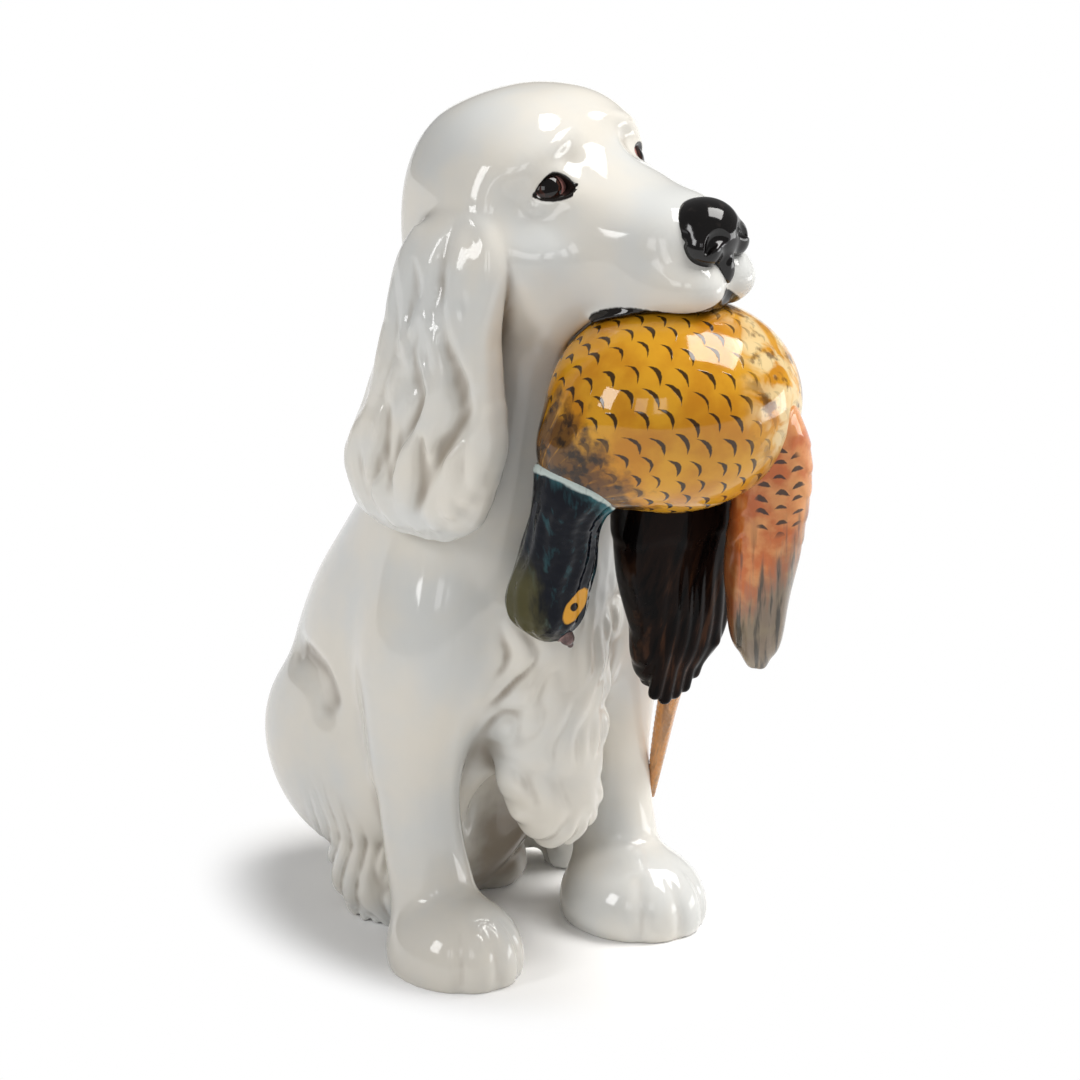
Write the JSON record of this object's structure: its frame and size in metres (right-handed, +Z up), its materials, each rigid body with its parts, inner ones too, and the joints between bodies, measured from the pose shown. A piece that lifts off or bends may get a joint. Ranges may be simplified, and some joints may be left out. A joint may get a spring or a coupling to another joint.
{
  "type": "dog figure",
  "caption": "Glazed earthenware figure of a seated spaniel with its head turned, holding a cock pheasant in its mouth; a free-standing fireside ornament with flat soles.",
  "frame": {"origin": "middle of the figure's footprint box, on the surface that it stands on", "axes": "+Z up, the dog's body faces -Y, +X to the dog's left"},
  "size_m": [0.1239, 0.2172, 0.295],
  "materials": {
    "white_glaze": "off-white earthenware under a clear gloss glaze",
    "nose_black": "black enamel under gloss glaze",
    "eye_brown": "brown and black enamel under gloss glaze",
    "breast_ochre": "ochre enamel with black crescents under gloss glaze",
    "neck_teal": "blue-black and teal enamel under gloss glaze",
    "beak_mauve": "mauve-brown enamel under gloss glaze",
    "wing_russet": "russet enamel with black dashes under gloss glaze",
    "tail_brown": "streaked brown-black enamel under gloss glaze",
    "feather_tan": "orange-tan enamel under gloss glaze"
  },
  "bodies": {
    "root": {"body": "white_glaze", "head": "white_glaze", "nose": "nose_black", "right_eye": "eye_brown", "left_eye": "eye_brown", "right_ear": "white_glaze", "left_ear": "white_glaze", "right_foreleg": "white_glaze", "left_foreleg": "white_glaze", "right_hind_leg": "white_glaze", "left_hind_leg": "white_glaze", "chest_feathering": "white_glaze", "tail": "white_glaze", "bird_body": "breast_ochre", "bird_head": "neck_teal", "bird_beak": "beak_mauve", "bird_wing": "wing_russet", "bird_rump": "tail_brown", "bird_tail": "feather_tan"}
  },
  "joints": []
}
